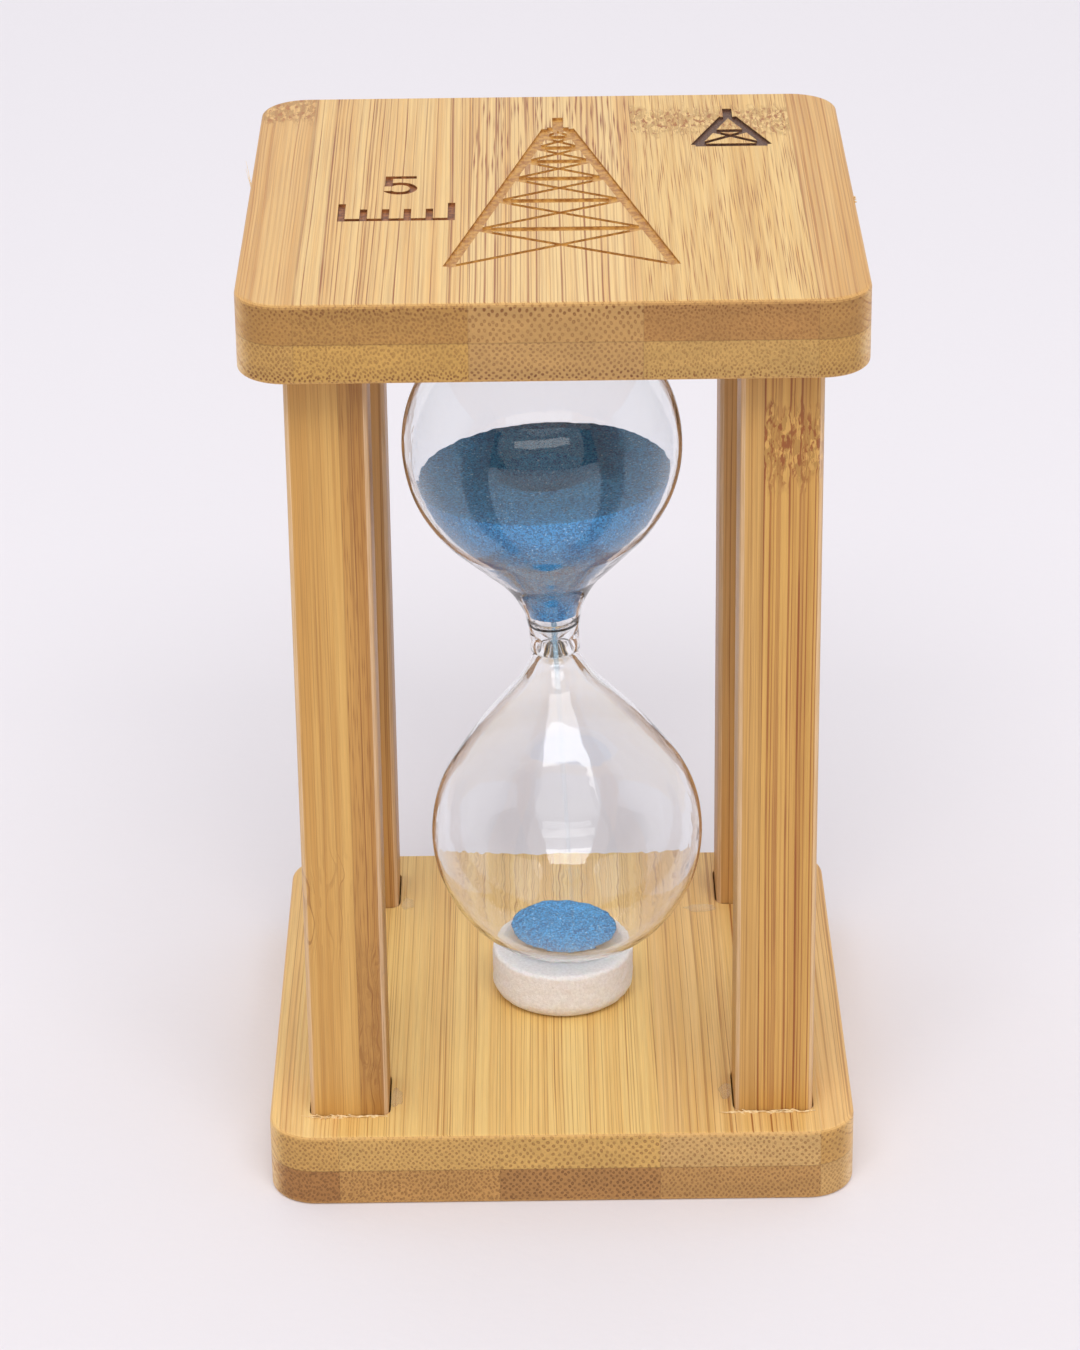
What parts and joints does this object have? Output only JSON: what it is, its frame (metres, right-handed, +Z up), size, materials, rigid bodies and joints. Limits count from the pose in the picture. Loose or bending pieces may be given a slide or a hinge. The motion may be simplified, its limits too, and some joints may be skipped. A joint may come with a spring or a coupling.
{
  "type": "hourglass",
  "caption": "Sand timer: a sealed double-bulb glass with blue sand, held between soft seats in a square frame of laminated bamboo end boards and posts.",
  "frame": {"origin": "centre of the underside of the bottom end board", "axes": "+Z up along the posts, -Y towards the front, +X to the right seen from the front"},
  "size_m": [0.075, 0.075, 0.1235],
  "materials": {
    "board_bamboo": "sanded laminated bamboo with a thin satin coat",
    "post_bamboo": "sanded laminated bamboo, upright grain",
    "clear_glass": "clear blown glass",
    "white_foam": "soft white foam with a rough cut side",
    "blue_sand": "fine dyed sand with sparkling grains"
  },
  "bodies": {
    "frame": {"top_outer_strip_1": "board_bamboo", "top_outer_strip_2": "board_bamboo", "top_outer_strip_3": "board_bamboo", "top_outer_strip_4": "board_bamboo", "top_outer_strip_5": "board_bamboo", "top_inner_strip_1": "board_bamboo", "top_inner_strip_2": "board_bamboo", "top_inner_strip_3": "board_bamboo", "top_inner_strip_4": "board_bamboo", "top_inner_strip_5": "board_bamboo", "bottom_inner_strip_1": "board_bamboo", "bottom_inner_strip_2": "board_bamboo", "bottom_inner_strip_3": "board_bamboo", "bottom_inner_strip_4": "board_bamboo", "bottom_inner_strip_5": "board_bamboo", "bottom_outer_strip_1": "board_bamboo", "bottom_outer_strip_2": "board_bamboo", "bottom_outer_strip_3": "board_bamboo", "bottom_outer_strip_4": "board_bamboo", "bottom_outer_strip_5": "board_bamboo", "post_front_left_left_strip": "post_bamboo", "post_front_left_right_strip": "post_bamboo", "post_front_right_left_strip": "post_bamboo", "post_front_right_right_strip": "post_bamboo", "post_back_left_left_strip": "post_bamboo", "post_back_left_right_strip": "post_bamboo", "post_back_right_left_strip": "post_bamboo", "post_back_right_right_strip": "post_bamboo", "lower_seat": "white_foam", "upper_seat": "white_foam"},
    "glass": {"glass_vessel": "clear_glass", "upper_sand": "blue_sand", "falling_sand": "blue_sand", "lower_sand": "blue_sand"}
  },
  "joints": [
    {"name": "glass_turn", "type": "hinge", "parent": "frame", "child": "glass", "pos_m": [-0.0001, 0, 0.06197], "axis": [-0.0489, 0, 0.9988], "continuous": true}
  ]
}
